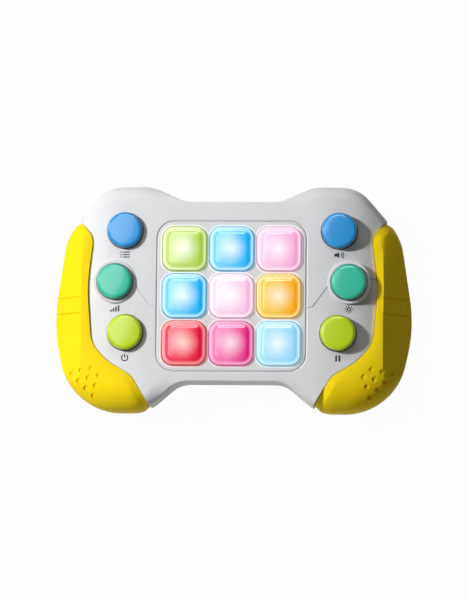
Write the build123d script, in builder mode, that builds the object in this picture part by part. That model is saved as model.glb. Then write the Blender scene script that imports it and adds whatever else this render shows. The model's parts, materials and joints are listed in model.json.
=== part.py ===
from build123d import *
from math import asin, atan2, cos, degrees, radians, sin, sqrt, tan
import os

os.makedirs("parts", exist_ok=True)

# Handheld electronic game: a two-handed housing that lies on its back, face up.
# +X runs to the player's right hand, +Y to the top edge, +Z out of the face.
# The origin is on the surface it rests on, under the middle of its outline.
# Lengths are in millimetres.

# Housing
body_width = 166.5
body_depth = 105.4
face_height = 27.0
split_height = 12.0
wall = 2.2
edge_radius = 6.0
rear_radius = 6.0
crown_flat = 36.0
crown_reach = 21.0
crown_radius = 112.0
roll_reach = 9.5
roll_radius = 30.0
brow_half = 20.0
brow_reach = 17.0
brow_edge = 1.0
groove_width = 0.6
groove_depth = 0.45
groove_turn = 12.0
groove_run = 3.0
groove_level = -4.0
groove_fall = 0.7
stub_rise = 1.9
stub_reach = 5.0
overrun = 6.0
gap = 0.1

# Grips
grip_wall = 2.4
grip_lift = 1.2
grip_edge = 13.0
grip_crest = 70.5
crest_slope = 47.0
strip_width = 3.6
strip_drop = 1.15
seam_gap = 0.25
flank_wall = 1.4
seam_land = 2.4
band_middle = -2.9
band_height = 7.5
dimple_radius = 1.2
dimple_depth = 0.45
dimple_x = 75.0
dimple_y = -34.8
dimple_rows = (3, 3, 2, 1)
dimple_pitch = 5.0
dimple_turn = 11.5
dimple_skew = 34.0
peg_radius = 2.0
peg_length = 3.4
peg_height = 6.5
peg_spread = 9.0

# Key panel and keys
panel_width = 69.6
panel_depth = 70.1
panel_corner = 8.2
panel_y = 0.9
panel_bevel = 0.55
panel_bevel_slope = 45.0
ledge_width = 1.2
ledge_height = 1.4
key_side = 20.8
key_corner = 5.4
key_pitch = 22.05
key_rise = 2.3
key_travel = 2.0
key_wall = 1.2
key_clearance = 0.3
key_rim = 2.1
key_step = 0.75
key_edge = 0.6
flange_lip = 0.4
flange_corner = 2.5
flange_height = 1.0
plunger_radius = 5.5
plunger_bore = 4.4

# Round buttons
button_radius = 8.4
button_top = 30.4
button_edge = 1.9
button_wall = 1.3
button_travel = 1.5
button_clearance = 0.3
button_flange = 1.3
button_flange_height = 1.0
button_seat = 22.0
button_post = 2.4
guide_wall = 1.8
upper_button = (50.0, 31.6)
middle_button = (54.6, 7.6)
lower_button = (49.6, -16.2)
collar_width = 1.7
collar_top = 26.9
collar_edge = 0.5

# Boards and what stands on them
board_top = 18.4
board_thickness = 1.6
board_half_width = 60.5
board_front = -26.0
board_back = 38.5
board_corner = 5.0
board_post = 2.8
board_screw_x = 38.8
board_screw_front = -22.5
board_screw_back = 36.0
board_screw_radius = 1.0
board_screw_length = 7.0
board_screw_head = 1.4
screw_share = 1.9
led_side = 5.0
led_height = 1.6
led_well = 1.7
led_well_depth = 0.5
dome_foot = 7.2
dome_bore = 4.6
button_dome_foot = 5.2
button_dome_crown = 3.2
dome_wall = 0.8
dome_lip = 0.6
chip_width = 10.0
chip_depth = 7.0
chip_height = 1.5
chip_lift = 0.2
chip_x = 42.0
chip_y = 12.0
chip_pin = 0.5
chip_pin_pitch = 1.27
chip_pins = 7
capacitor_radius = 2.5
capacitor_height = 6.5
capacitor_x = 40.0
capacitor_y = -2.0

# Housing screws
housing_screw_top = (44.5, 45.0)
housing_screw_low = (37.5, -36.0)
housing_screw_radius = 1.3
housing_screw_length = 17.0
screw_head_radius = 2.5
screw_head_height = 1.6
screw_sink = 4.0
post_radius = 4.0
boss_radius = 3.2
bore_clearance = 0.06

# Battery bay
cell_radius = 5.25
cell_length = 44.5
cell_nub_radius = 1.9
cell_nub = 0.9
cell_pitch = 11.1
cell_label = 6.0
bay_length = 51.0
bay_y = 1.0
bay_wall = 2.0
bay_roof = 1.3
door_thickness = 1.8
door_recess = 0.3
door_clearance = 0.3
door_corner = 3.0
door_ear = 5.0
door_rib_count = 4
door_rib_pitch = 3.0
door_rib_length = 18.0
door_rib_width = 1.2
door_rib_height = 1.4
door_screw_length = 9.0
door_screw_radius = 1.2
door_screw_head = 1.0
contact_thickness = 0.5
spring_wire = 0.6
spring_top = 2.2
spring_foot = 3.6
spring_turns = 3
tab_width = 3.0

# Speaker
speaker_x = -46.5
speaker_y = 8.0
speaker_radius = 13.5
speaker_flange = 1.2
speaker_cone_depth = 3.0
speaker_rim = 1.5
basket_wall = 0.5
cone_wall = 0.35
magnet_radius = 7.0
speaker_height = 5.4
speaker_cup = 1.3
slot_width = 1.8
slot_pitch = 4.2
slot_shares = (0.45, 0.85, 1.0, 0.85, 0.45)
slot_length = 17.0
lead_radius = 0.55
lead_sides = 8
lead_pitch = 3.0

# Shares of half the width, of half the depth and, for the radius, of half the width
outline_shares = (
    (0.268, 0.856, 0.200),
    (0.452, 1.000, 0.230),
    (0.703, 1.000, 0.200),
    (0.943, 0.583, 0.300),
    (1.020, -0.219, 0.850),
    (0.910, -1.000, 0.350),
    (0.485, -1.000, 0.235),
    (0.296, -0.741, 0.160),
)
seam_shares = (
    (0.915, 0.815, 0.000),
    (0.780, 0.545, 0.109),
    (0.815, 0.120, 0.848),
    (0.788, -0.398, 0.170),
    (0.688, -0.563, 0.242),
    (0.559, -0.681, 0.145),
    (0.392, -1.124, 0.000),
    (1.250, -1.200, 0.000),
    (1.250, 1.200, 0.000),
)

# Levels and places worked out from the sizes above
half_width = body_width / 2
half_depth = body_depth / 2
face_under = face_height - wall
brow_radius = (brow_reach**2 + edge_radius**2) / (2 * edge_radius)
board_under = board_top - board_thickness
key_top = face_height + key_rise
flange_top = face_under - key_clearance
flange_under = flange_top - flange_height
plunger_end = flange_under - key_travel
dome_height = plunger_end - board_top
button_under = button_seat - button_clearance - button_flange_height
hole_radius = button_radius + button_clearance
guide_radius = hole_radius + guide_wall
flange_pocket = button_radius + button_flange + 2 * gap
door_top = door_recess + door_thickness
cell_height = door_top + gap + cell_radius
bay_top = cell_height + cell_radius + gap
bay_half_length = bay_length / 2
bay_half_width = cell_pitch + cell_radius + key_clearance
door_length = bay_length + bay_wall
door_width = (bay_half_width + door_ear) * 2
door_screw_y = bay_half_width + door_ear / 2 + gap
key_names = (
    ("lower_left", -1, -1), ("lower_middle", 0, -1), ("lower_right", 1, -1),
    ("middle_left", -1, 0), ("centre", 0, 0), ("middle_right", 1, 0),
    ("upper_left", -1, 1), ("upper_middle", 0, 1), ("upper_right", 1, 1),
)
button_rows = (("upper", upper_button), ("middle", middle_button), ("lower", lower_button))
button_places = [
    (f"{side}_{row}", sign * place[0], place[1])
    for side, sign in (("left", -1), ("right", 1))
    for row, place in button_rows
]
key_places = [(name, column * key_pitch, panel_y + row * key_pitch) for name, column, row in key_names]
board_screws_at = [
    (side * board_screw_x, y) for side in (-1, 1) for y in (board_screw_front, board_screw_back)
]
housing_screws_at = [
    (side * place[0], place[1])
    for side in (-1, 1)
    for place in (housing_screw_top, housing_screw_low)
]


def shared_points(shares):
    return [(x * half_width, y * half_depth) for x, y, r in shares]


def draw_outline():
    """The housing's outline, seen from the front: two lobes to a side and a narrower waist."""
    right = shared_points(outline_shares)
    radii = [r * half_width for x, y, r in outline_shares]
    left = [(-x, y) for x, y in reversed(right)]
    FilletPolyline(*right, *left, radius=radii + radii[::-1], close=True)


def draw_crown(top, inset, rolls):
    """The face's profile from end to end: level, then falling in one or two arcs each way."""
    level = top - inset
    far = half_width + overrun
    first = crown_radius - inset
    centre = top - crown_radius
    if rolls:
        turn = asin(crown_reach / crown_radius)
        joint = (crown_flat + first * sin(turn), centre + first * cos(turn))
        second = roll_radius - inset
        end_turn = asin(sin(turn) + roll_reach / roll_radius)
        knee = (
            joint[0] + second * (sin(end_turn) - sin(turn)),
            joint[1] - second * (cos(turn) - cos(end_turn)),
        )
        foot = (far, knee[1] - (far - knee[0]) * tan(end_turn))
    else:
        foot = (far, centre + sqrt(first**2 - (far - crown_flat) ** 2))
    for side in (1, -1):
        start = (side * crown_flat, level)
        if rolls:
            RadiusArc(start, (side * joint[0], joint[1]), side * first)
            RadiusArc((side * joint[0], joint[1]), (side * knee[0], knee[1]), side * second)
            Line((side * knee[0], knee[1]), (side * foot[0], foot[1]))
        else:
            RadiusArc(start, (side * foot[0], foot[1]), side * first)
    Line((-crown_flat, level), (crown_flat, level))
    Polyline(foot, (far, -overrun), (-far, -overrun), (-foot[0], foot[1]))


def face_edges(part):
    """The edges where the face meets the side walls."""
    walls = [f for f in part.faces() if abs(f.normal_at().Z) < gap]
    of_walls = {hash(e) for f in walls for e in f.edges()}
    tops = [f for f in part.faces() if f.normal_at().Z > 2 * gap]
    return [e for f in tops for e in f.edges() if hash(e) in of_walls]


def housing_form(inset, lift=0.0, edge=0.0, rear=0.0, rolls=True):
    """The whole housing as a solid, with every surface drawn in by one inset."""
    with BuildPart() as form:
        with BuildSketch(Plane.XY.offset(inset)):
            with BuildLine():
                draw_outline()
            make_face()
            if inset:
                offset(amount=-inset, kind=Kind.ARC)
        extrude(amount=face_height + lift)
        with BuildSketch(Plane.XZ.offset(-half_depth)):
            with BuildLine():
                draw_crown(face_height + lift, inset, rolls)
            make_face()
        extrude(amount=body_depth, mode=Mode.INTERSECT)
        if edge:
            fillet(face_edges(form.part), edge)
        if rear:
            fillet(form.faces().sort_by(Axis.Z)[0].edges(), rear)
    return form.part


def grip_region(shrink):
    """Everything on the left grip's side of its seam, from below the housing to above it."""
    with BuildPart() as region:
        with BuildSketch(Plane.XY.offset(-overrun)):
            with BuildLine():
                points = [(-x, y) for x, y in shared_points(seam_shares)]
                radii = [r * half_width for x, y, r in seam_shares]
                FilletPolyline(*points, radius=radii, close=True)
            make_face()
            if shrink:
                offset(amount=-shrink, kind=Kind.ARC)
        extrude(amount=face_height + 3 * overrun)
    return region.part


def joined(*solids):
    with BuildPart() as whole:
        for solid in solids:
            add(solid)
    return whole.part


def cut_from(solid, *tools):
    with BuildPart() as rest:
        add(solid)
        for tool in tools:
            add(tool, mode=Mode.SUBTRACT)
    return rest.part


def both_sides(solid):
    with BuildPart() as pair:
        add(solid)
        mirror(about=Plane.YZ)
    return pair.part


def rounded_slab(width, depth, corner, low, high, centre_y=0.0, centre_x=0.0):
    """A flat block with rounded corners between two levels."""
    with BuildPart() as slab:
        with BuildSketch(Plane.XY.offset(low)):
            with Locations((centre_x, centre_y)):
                RectangleRounded(width, depth, corner)
        extrude(amount=high - low)
    return slab.part


def cylinder_at(x, y, radius, low, high):
    with BuildPart() as post:
        with BuildSketch(Plane.XY.offset(low)):
            with Locations((x, y)):
                Circle(radius)
        extrude(amount=high - low)
    return post.part


# Brow: the crisp stretch of the face's edge over the waist, fading into the round edge
with BuildPart() as brow:
    with BuildSketch(Plane.XY.offset(split_height)):
        with BuildLine():
            draw_outline()
        make_face()
    extrude(amount=face_height - split_height)
    brow_end = brow_half + brow_reach
    brow_foot = face_height - edge_radius
    with BuildSketch(Plane.XZ.offset(-half_depth)):
        with BuildLine():
            for side in (1, -1):
                RadiusArc((side * brow_half, face_height), (side * brow_end, brow_foot), side * brow_radius)
            Line((-brow_half, face_height), (brow_half, face_height))
            Polyline((brow_end, brow_foot), (brow_end, 0), (-brow_end, 0), (-brow_end, brow_foot))
        make_face()
    extrude(amount=body_depth, mode=Mode.INTERSECT)
    brow_walls = [f for f in brow.faces() if abs(f.normal_at().Z) < gap and abs(f.normal_at().Y) > gap]
    brow_wall_edges = {hash(e) for f in brow_walls for e in f.edges()}
    brow_tops = [f for f in brow.faces() if f.normal_at().Z > 2 * gap]
    fillet([e for f in brow_tops for e in f.edges() if hash(e) in brow_wall_edges], brow_edge)

# Forms shared by the shells and the grips
outer_form = joined(brow.part, housing_form(0, edge=edge_radius, rear=rear_radius))
groove_floor = housing_form(groove_depth)
cavity_form = housing_form(wall, edge=edge_radius - wall, rear=rear_radius - wall)
grip_bed = housing_form(grip_wall, edge=grip_edge - grip_wall, rear=rear_radius - grip_wall)
flank_seat = housing_form(grip_wall + gap, edge=grip_edge - grip_wall, rear=rear_radius - grip_wall)
flank_inset = grip_wall + flank_wall
flank_cavity = housing_form(flank_inset, edge=grip_edge - flank_inset, rear=rear_radius - flank_inset)
grip_outer = housing_form(0, grip_lift, grip_edge, rear_radius, rolls=False)
grip_mark_floor = housing_form(dimple_depth, grip_lift, grip_edge, rear_radius, rolls=False)
cavity_core = cut_from(cavity_form, both_sides(grip_region(-seam_land)))
shell_form = joined(cut_from(outer_form, both_sides(grip_region(0))), flank_seat)


def side_bevel(depth):
    """What the steep outer side cuts off the left grip, moved inward by a depth."""
    drop = depth / cos(radians(crest_slope))
    fall = half_width + overrun - grip_crest
    crest_height = face_height + grip_lift - crown_radius
    crest_height += sqrt(crown_radius**2 - (grip_crest - crown_flat) ** 2) - drop
    with BuildPart() as bevel:
        with BuildSketch(Plane.XZ.offset(-half_depth)):
            with BuildLine():
                foot = (-half_width - overrun, crest_height - fall * tan(radians(crest_slope)))
                peak = (-grip_crest, crest_height)
                above = (overrun / 2, overrun / 2 * tan(radians(crest_slope)))
                start = (peak[0] + above[0], peak[1] + above[1])
                Polyline(foot, start, (start[0], body_depth), (foot[0], body_depth), close=True)
            make_face()
        extrude(amount=body_depth)
    return bevel.part


def turned(x, y, profile):
    """A turned piece on an upright axis, from its half profile of radius and height."""
    with BuildPart() as piece:
        with BuildSketch(Plane(origin=(x, y, 0), x_dir=(1, 0, 0), z_dir=(0, -1, 0))):
            with BuildLine():
                Polyline(*profile, close=True)
            make_face()
        revolve(axis=Axis((x, y, 0), (0, 0, 1)))
    return piece.part


def top_edges(part, height):
    return [e for e in part.edges() if abs(e.center().Z - height) < gap / 10]


# Front shell
collar_radius = button_radius + collar_width
opening_width = panel_width + 2 * gap
opening_depth = panel_depth + 2 * gap
ledge_reach = 2 * ledge_width
with BuildPart() as front_shell:
    add(shell_form)
    split(bisect_by=Plane.XY.offset(split_height), keep=Keep.TOP)
    add(cavity_core, mode=Mode.SUBTRACT)
    add(flank_cavity, mode=Mode.SUBTRACT)
    # Guide tubes, collars and screw bosses reach down from the face
    for name, x, y in button_places:
        add(cylinder_at(x, y, guide_radius, button_seat, face_height) & groove_floor)
    for x, y in housing_screws_at:
        add(cylinder_at(x, y, boss_radius, split_height, face_height) & groove_floor)
    for side in (-1, 1):
        collar = cylinder_at(side * middle_button[0], middle_button[1], collar_radius, button_seat, collar_top)
        add(collar.fillet(collar_edge, top_edges(collar, collar_top)))
    # The key panel's ledge and opening
    ledge_low = face_under - ledge_height
    add(rounded_slab(
        opening_width + ledge_reach, opening_depth + ledge_reach, panel_corner + ledge_width,
        ledge_low, face_under, panel_y,
    ))
    add(rounded_slab(
        panel_width - ledge_reach, panel_depth - ledge_reach, flange_corner,
        ledge_low, face_under, panel_y,
    ), mode=Mode.SUBTRACT)
    add(rounded_slab(
        opening_width, opening_depth, panel_corner + gap, face_under, face_height + overrun, panel_y,
    ), mode=Mode.SUBTRACT)
    flare = panel_bevel + gap
    with BuildSketch(Plane.XY.offset(face_height + gap)):
        with Locations((0, panel_y)):
            RectangleRounded(
                opening_width + 2 * flare, opening_depth + 2 * flare, panel_corner + gap + flare
            )
    extrude(amount=-flare, taper=panel_bevel_slope, mode=Mode.SUBTRACT)
    for name, x, y in button_places:
        add(cylinder_at(x, y, hole_radius, button_seat - overrun, collar_top + overrun), mode=Mode.SUBTRACT)
        add(cylinder_at(x, y, flange_pocket, split_height, button_seat), mode=Mode.SUBTRACT)
    for x, y in housing_screws_at:
        bore = housing_screw_radius + bore_clearance
        top = screw_sink + housing_screw_length + gap
        add(cylinder_at(x, y, bore, split_height - overrun, top), mode=Mode.SUBTRACT)
    # Fine grooves from the collars to the key panel and out to the grips
    with BuildPart(mode=Mode.PRIVATE) as grooves:
        for side in (-1, 1):
            with BuildSketch(Plane.XY.offset(face_under - 2 * wall)):
                with BuildLine():
                    turn = radians(groove_turn)
                    Polyline(
                        (
                            side * (middle_button[0] - collar_radius * cos(turn)),
                            middle_button[1] - collar_radius * sin(turn),
                        ),
                        (side * (panel_width / 2 + groove_run), groove_level),
                        (side * panel_width / 2, groove_level - groove_fall),
                    )
                trace(line_width=groove_width)
                with BuildLine():
                    stub_y = middle_button[1] + stub_rise
                    Line(
                        (side * (middle_button[0] + sqrt(collar_radius**2 - stub_rise**2)), stub_y),
                        (side * (middle_button[0] + collar_radius + stub_reach), stub_y),
                    )
                trace(line_width=groove_width)
        extrude(amount=face_height)
    add(cut_from(grooves.part, groove_floor), mode=Mode.SUBTRACT)
front_shell.part.label = "front_shell"
export_step(front_shell.part, "parts/front_shell.step")

# Rear shell
bay_outer_x = bay_length + 2 * bay_wall
bay_outer_y = 2 * (bay_half_width + bay_wall)
seat_corner = door_corner + bay_wall
peg_places = [(band_middle - peg_spread, peg_height), (band_middle + peg_spread, peg_height)]
with BuildPart() as rear_shell:
    add(shell_form)
    split(bisect_by=Plane.XY.offset(split_height - gap), keep=Keep.BOTTOM)
    add(cavity_core, mode=Mode.SUBTRACT)
    add(flank_cavity, mode=Mode.SUBTRACT)
    # Battery bay with a ledge over the door's edge
    add(rounded_slab(
        door_length + 2 * bay_wall, door_width + 2 * bay_wall, seat_corner, wall, 2 * wall, bay_y,
    ))
    add(rounded_slab(bay_outer_x, bay_outer_y, bay_wall, wall, bay_top + bay_roof, bay_y))
    for side in (-1, 1):
        add(cylinder_at(0, bay_y + side * door_screw_y, boss_radius, wall, door_top + door_screw_length))
    for x, y in board_screws_at:
        add(cylinder_at(x, y, board_post, wall / 2, board_under))
    for x, y in housing_screws_at:
        add(cylinder_at(x, y, post_radius, wall / 2, split_height - gap))
    add(cylinder_at(speaker_x, speaker_y, speaker_radius + speaker_cup + gap, wall / 2, wall + speaker_cone_depth))
    add(cylinder_at(speaker_x, speaker_y, speaker_radius + gap, wall, face_height), mode=Mode.SUBTRACT)
    # Openings from outside
    add(rounded_slab(
        door_length + 2 * door_clearance, door_width + 2 * door_clearance, door_corner + door_clearance,
        -overrun, wall, bay_y,
    ), mode=Mode.SUBTRACT)
    add(rounded_slab(bay_length, 2 * bay_half_width, bay_wall / 2, 0, bay_top, bay_y), mode=Mode.SUBTRACT)
    for side in (-1, 1):
        bore = door_screw_radius + bore_clearance
        top = door_top + door_screw_length - wall / 2
        add(cylinder_at(0, bay_y + side * door_screw_y, bore, 0, top), mode=Mode.SUBTRACT)
        tab_x = side * (bay_half_length - contact_thickness)
        tab_y = bay_y + side * cell_pitch
        add(rounded_slab(
            tab_width, tab_width + 2 * gap, gap, bay_top - gap, bay_top + bay_roof + gap, tab_y, tab_x,
        ), mode=Mode.SUBTRACT)
    for x, y in board_screws_at:
        bore = board_screw_radius + bore_clearance
        add(cylinder_at(x, y, bore, board_top - board_screw_length - gap, board_top), mode=Mode.SUBTRACT)
    for x, y in housing_screws_at:
        add(cylinder_at(x, y, housing_screw_radius + gap, 0, split_height), mode=Mode.SUBTRACT)
        add(cylinder_at(x, y, screw_head_radius + gap, -overrun, screw_sink), mode=Mode.SUBTRACT)
    with BuildSketch(Plane.XY.offset(-gap)):
        for step, share in enumerate(slot_shares):
            with Locations((speaker_x, speaker_y + (step - len(slot_shares) // 2) * slot_pitch)):
                SlotOverall(slot_length * share, slot_width)
    extrude(amount=wall + 2 * gap, mode=Mode.SUBTRACT)
    # Holes in the flanks for the grips' pegs
    for side in (-1, 1):
        with BuildSketch(Plane.YZ.offset(side * (half_width + gap))):
            with Locations(*peg_places):
                Circle(peg_radius + gap)
        extrude(amount=-side * (grip_wall + peg_length + wall), mode=Mode.SUBTRACT)
rear_shell.part.label = "rear_shell"
export_step(rear_shell.part, "parts/rear_shell.step")

# Grips: caps that slide on from the side, over the sunken flanks of both shells
with BuildPart() as grip_marks:
    with BuildSketch(Plane.XY.offset(-overrun)):
        for side in (-1, 1):
            with Locations((-half_width, band_middle + side * band_height / 2)):
                Rectangle(body_width / 3, groove_width)
        turn = radians(dimple_turn)
        for row, count in enumerate(dimple_rows):
            for column in range(count):
                along = (column * cos(turn), column * sin(turn))
                down = (row * cos(turn + radians(dimple_skew)), row * sin(turn + radians(dimple_skew)))
                with Locations((
                    -dimple_x + dimple_pitch * (along[0] + down[0]),
                    dimple_y + dimple_pitch * (along[1] - down[1]),
                )):
                    Circle(dimple_radius)
    extrude(amount=face_height + 2 * overrun)
    add(cut_from(grip_mark_floor, side_bevel(dimple_depth)), mode=Mode.SUBTRACT)

with BuildPart() as left_grip:
    add(grip_outer)
    add(grip_region(seam_gap), mode=Mode.INTERSECT)
    seam_walls = [
        f for f in left_grip.faces()
        if abs(f.normal_at().Z) < gap / 5 and f.normal_at().X > 3 * gap and f.normal_at().Y > -3 * gap
    ]
    wall_edges = [e for f in seam_walls for e in f.edges()]
    wall_keys = [hash(e) for e in wall_edges]
    seam_top = [
        e for e in wall_edges if wall_keys.count(hash(e)) == 1 and e.center().Z > split_height
    ]
    chamfer(seam_top, length=strip_drop, length2=strip_width)
    add(side_bevel(0), mode=Mode.SUBTRACT)
    add(grip_bed, mode=Mode.SUBTRACT)
    add(grip_marks.part, mode=Mode.SUBTRACT)
    with BuildSketch(Plane.YZ.offset(-half_width + grip_wall)):
        with Locations(*peg_places):
            Circle(peg_radius)
    extrude(amount=peg_length)
left_grip.part.label = "left_grip"
export_step(left_grip.part, "parts/left_grip.step")

with BuildPart() as right_grip:
    mirror(left_grip.part, about=Plane.YZ)
right_grip.part.label = "right_grip"
export_step(right_grip.part, "parts/right_grip.step")

# Key panel
key_hole = key_side + 2 * key_clearance
with BuildPart() as key_panel:
    add(rounded_slab(panel_width, panel_depth, panel_corner, face_under, face_height, panel_y))
    chamfer(top_edges(key_panel.part, face_height), panel_bevel)
    with BuildSketch(Plane.XY.offset(face_under)):
        with Locations(*[(x, y) for name, x, y in key_places]):
            RectangleRounded(key_hole, key_hole, key_corner + key_clearance)
    extrude(amount=wall, mode=Mode.SUBTRACT)
key_panel.part.label = "key_panel"
export_step(key_panel.part, "parts/key_panel.step")

# Keys: translucent caps with a raised pillow, a flange below and a ring that presses the dome
shoulder = key_top - key_step
ceiling = shoulder - key_wall
with BuildPart() as key_form:
    add(rounded_slab(key_side, key_side, key_corner, flange_under, shoulder))
    fillet(top_edges(key_form.part, shoulder), key_edge)
    pillow_side = key_side - 2 * key_rim
    pillow = rounded_slab(pillow_side, pillow_side, key_corner - key_rim, ceiling, key_top)
    add(pillow.fillet(key_edge, top_edges(pillow, key_top)))
    flange_side = key_side + 2 * flange_lip
    add(rounded_slab(flange_side, flange_side, flange_corner, flange_under, flange_top))
    hollow_side = key_side - 2 * key_wall
    add(rounded_slab(hollow_side, hollow_side, key_corner - key_wall, flange_under, ceiling), mode=Mode.SUBTRACT)
    add(cylinder_at(0, 0, plunger_radius, plunger_end, ceiling))
    add(cylinder_at(0, 0, plunger_bore, plunger_end, ceiling), mode=Mode.SUBTRACT)
for name, x, y in key_places:
    with BuildPart() as key:
        with Locations((x, y)):
            add(key_form.part)
    key.part.label = f"key_{name}"
    export_step(key.part, f"parts/key_{name}.step")

# Round buttons: stiff caps with a flange below the guide tube and a middle post
button_ceiling = button_top - button_edge
with BuildPart() as button_form:
    add(cylinder_at(0, 0, button_radius, button_under, button_top))
    fillet(top_edges(button_form.part, button_top), button_edge)
    add(cylinder_at(0, 0, button_radius + button_flange, button_under, button_under + button_flange_height))
    add(cylinder_at(0, 0, button_radius - button_wall, button_under, button_ceiling), mode=Mode.SUBTRACT)
    add(cylinder_at(0, 0, button_post, plunger_end, button_ceiling))
for name, x, y in button_places:
    with BuildPart() as button:
        with Locations((x, y)):
            add(button_form.part)
    button.part.label = f"button_{name}"
    export_step(button.part, f"parts/button_{name}.step")

# Rubber domes: open rings round the lamps under the keys, closed caps under the buttons
dome_crown = plunger_radius + dome_wall / 2
dome_shoulder = plunger_end - dome_wall
key_dome_profile = [
    (dome_bore, plunger_end), (dome_crown, plunger_end),
    (dome_foot - dome_lip, board_top + dome_wall), (dome_foot, board_top + dome_wall),
    (dome_foot, board_top), (dome_foot - dome_lip - dome_wall, board_top),
    (dome_crown - dome_wall, dome_shoulder), (dome_bore, dome_shoulder),
]
for name, x, y in key_places:
    key_dome = turned(x, y, key_dome_profile)
    key_dome.label = f"key_dome_{name}"
    export_step(key_dome, f"parts/key_dome_{name}.step")
button_dome_profile = [
    (0, plunger_end), (button_dome_crown, plunger_end),
    (button_dome_foot - dome_lip, board_top + dome_wall), (button_dome_foot, board_top + dome_wall),
    (button_dome_foot, board_top), (button_dome_foot - dome_lip - dome_wall, board_top),
    (button_dome_crown - dome_wall, dome_shoulder), (0, dome_shoulder),
]
for name, x, y in button_places:
    button_dome = turned(x, y, button_dome_profile)
    button_dome.label = f"button_dome_{name}"
    export_step(button_dome, f"parts/button_dome_{name}.step")

# Main board and what is soldered to it
board_depth = board_back - board_front
board_y = (board_back + board_front) / 2
with BuildPart() as main_board:
    add(rounded_slab(2 * board_half_width, board_depth, board_corner, board_under, board_top, board_y))
    with BuildSketch(Plane.XY.offset(board_under)):
        with Locations(*board_screws_at):
            Circle(board_screw_radius + gap)
    extrude(amount=board_thickness, mode=Mode.SUBTRACT)
main_board.part.label = "main_board"
export_step(main_board.part, "parts/main_board.step")

with BuildPart() as leds:
    with BuildSketch(Plane.XY.offset(board_top)):
        with Locations(*[(x, y) for name, x, y in key_places]):
            Rectangle(led_side, led_side)
    extrude(amount=led_height)
    with BuildSketch(Plane.XY.offset(board_top + led_height)):
        with Locations(*[(x, y) for name, x, y in key_places]):
            Circle(led_well)
    extrude(amount=-led_well_depth, mode=Mode.SUBTRACT)
leds.part.label = "leds"
export_step(leds.part, "parts/leds.step")

with BuildPart() as controller_chip:
    with BuildSketch(Plane.XY.offset(board_under - chip_lift)):
        with Locations((chip_x, chip_y)):
            Rectangle(chip_width, chip_depth)
    extrude(amount=-chip_height)
    with BuildSketch(Plane.XY.offset(board_under)):
        for step in range(chip_pins):
            with Locations((chip_x + (step - chip_pins // 2) * chip_pin_pitch, chip_y)):
                Rectangle(chip_pin, chip_depth + 4 * chip_pin)
    extrude(amount=-chip_height / 2)
controller_chip.part.label = "controller_chip"
export_step(controller_chip.part, "parts/controller_chip.step")

with BuildPart() as capacitor:
    add(cylinder_at(capacitor_x, capacitor_y, capacitor_radius, board_under - capacitor_height, board_under))
    chamfer(top_edges(capacitor.part, board_under - capacitor_height), chip_pin / 2)
capacitor.part.label = "capacitor"
export_step(capacitor.part, "parts/capacitor.step")


def screw_at(x, y, head_face, head_side, tip, shank):
    """A cross-head screw between its head's outer face and its tip."""
    low, high = sorted((head_face, head_side))
    with BuildPart() as screw:
        add(cylinder_at(x, y, screw_share * shank, low, high))
        add(cylinder_at(x, y, shank, min(head_side, tip), max(head_side, tip)))
        with BuildSketch(Plane.XY.offset(head_face)):
            with Locations((x, y)):
                Rectangle(shank * 2, shank / 2)
                Rectangle(shank / 2, shank * 2)
        extrude(amount=(head_side - head_face) / 2, mode=Mode.SUBTRACT)
    return screw.part


with BuildPart() as board_screws:
    for x, y in board_screws_at:
        head = board_top + board_screw_head
        add(screw_at(x, y, head, board_top, board_top - board_screw_length, board_screw_radius))
board_screws.part.label = "board_screws"
export_step(board_screws.part, "parts/board_screws.step")

with BuildPart() as housing_screws:
    for x, y in housing_screws_at:
        head = screw_sink - screw_head_height
        add(screw_at(x, y, head, screw_sink, screw_sink + housing_screw_length, housing_screw_radius))
housing_screws.part.label = "housing_screws"
export_step(housing_screws.part, "parts/housing_screws.step")

# Speaker over the slots in the back
rim_under = wall + speaker_flange
back_under = wall + speaker_cone_depth - gap
basket_profile = [
    (speaker_radius - speaker_rim, wall), (speaker_radius, wall), (speaker_radius, rim_under),
    (speaker_radius - speaker_rim / 2, rim_under), (magnet_radius + speaker_rim, back_under + basket_wall),
    (magnet_radius, back_under + basket_wall), (magnet_radius, wall + speaker_height),
    (0, wall + speaker_height), (0, back_under), (magnet_radius + speaker_rim / 2, back_under),
    (speaker_radius - speaker_rim, rim_under - basket_wall / 2),
]
speaker_basket = turned(speaker_x, speaker_y, basket_profile)
speaker_basket.label = "speaker_basket"
export_step(speaker_basket, "parts/speaker_basket.step")
cone_rim = speaker_radius - speaker_rim - gap
voice_radius = magnet_radius / 2
cone_low = wall + cone_wall
cone_profile = [
    (cone_rim, cone_low), (cone_rim, cone_low + cone_wall),
    (voice_radius, back_under - cone_wall), (0, cone_low + 2 * cone_wall),
    (0, cone_low + cone_wall), (voice_radius, back_under - 2 * cone_wall),
]
speaker_cone = turned(speaker_x, speaker_y, cone_profile)
speaker_cone.label = "speaker_cone"
export_step(speaker_cone, "parts/speaker_cone.step")


def lead_along(y, points, bend):
    """A round wire in an upright plane across the housing."""
    plane = Plane(origin=(0, y, 0), x_dir=(1, 0, 0), z_dir=(0, -1, 0))
    with BuildPart() as lead:
        with BuildLine(plane) as route:
            FilletPolyline(*points, radius=bend)
        with BuildSketch(Plane(origin=route.line @ 0, z_dir=route.line % 0)):
            RegularPolygon(lead_radius, lead_sides)
        sweep()
    return lead.part


# Leads
lead_foot = speaker_x + magnet_radius + lead_pitch
lead_head = lead_foot + lead_pitch
lead_knee = (rim_under + board_under) / 2
with BuildPart() as speaker_leads:
    for side in (-1, 1):
        points = [
            (lead_foot, back_under + gap), (lead_foot, lead_knee - lead_pitch / 2),
            (lead_head, lead_knee + lead_pitch / 2), (lead_head, board_under),
        ]
        add(lead_along(speaker_y + side * lead_pitch / 2, points, 2 * lead_radius))
speaker_leads.part.label = "speaker_leads"
export_step(speaker_leads.part, "parts/speaker_leads.step")

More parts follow.
